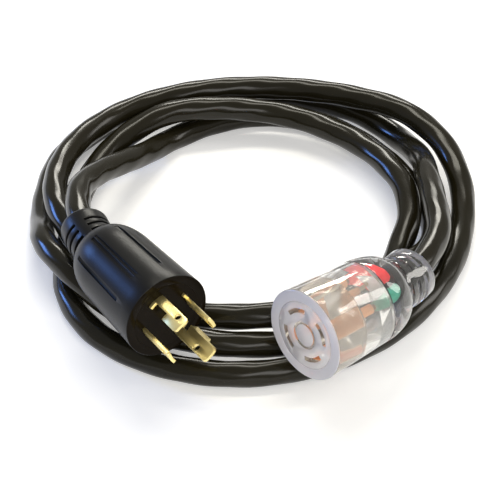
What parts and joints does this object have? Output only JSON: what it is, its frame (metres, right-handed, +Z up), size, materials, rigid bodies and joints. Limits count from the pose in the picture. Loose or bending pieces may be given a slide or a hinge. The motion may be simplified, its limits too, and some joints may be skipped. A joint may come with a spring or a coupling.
{
  "type": "shore power cord",
  "caption": "Coiled round power cord with a black locking plug with curved blades at one end and a clear locking connector with curved slots at the other.",
  "frame": {"origin": "middle of the part's outline, on the floor that the coil lies on", "axes": "+Z up out of the coil, -Y towards the plug's and the connector's faces, +X to the connector's side"},
  "size_m": [0.2716, 0.308, 0.075],
  "materials": {
    "jacket": "glossy black jacket",
    "overmould": "satin black moulding",
    "carrier": "polished black face",
    "brass": "polished",
    "copper": "bare copper",
    "tinned": "tinned copper",
    "clear": "clear moulding, faintly lilac",
    "lamp": "small lamp",
    "resistor": "tan lacquer",
    "core_red": "insulation",
    "core_black": "insulation",
    "core_white": "insulation",
    "core_green": "insulation"
  },
  "bodies": {
    "root": {"cord_coil": "jacket", "plug_body": "overmould", "plug_blade_carrier": "carrier", "plug_jacket_end": "jacket", "connector_shell": "clear", "connector_insert": "clear", "connector_rear_body": "clear", "connector_jacket_end": "jacket", "indicator_lamp": "lamp", "lamp_resistor": "resistor", "blade_neutral": "brass", "blade_hot_x": "brass", "blade_hot_y": "brass", "blade_ground": "brass", "contact_ground": "copper", "contact_hot_x": "copper", "contact_neutral": "copper", "contact_hot_y": "copper", "plug_core_white": "core_white", "plug_conductor_white": "copper", "plug_ferrule_white": "tinned", "plug_core_red": "core_red", "plug_conductor_red": "copper", "plug_ferrule_red": "tinned", "plug_core_black": "core_black", "plug_conductor_black": "copper", "plug_ferrule_black": "tinned", "plug_core_green": "core_green", "plug_conductor_green": "copper", "plug_ferrule_green": "tinned", "connector_core_white": "core_white", "connector_conductor_white": "copper", "connector_ferrule_white": "tinned", "connector_core_red": "core_red", "connector_conductor_red": "copper", "connector_ferrule_red": "tinned", "connector_core_black": "core_black", "connector_conductor_black": "copper", "connector_ferrule_black": "tinned", "connector_core_green": "core_green", "connector_conductor_green": "copper", "connector_ferrule_green": "tinned"}
  },
  "joints": []
}
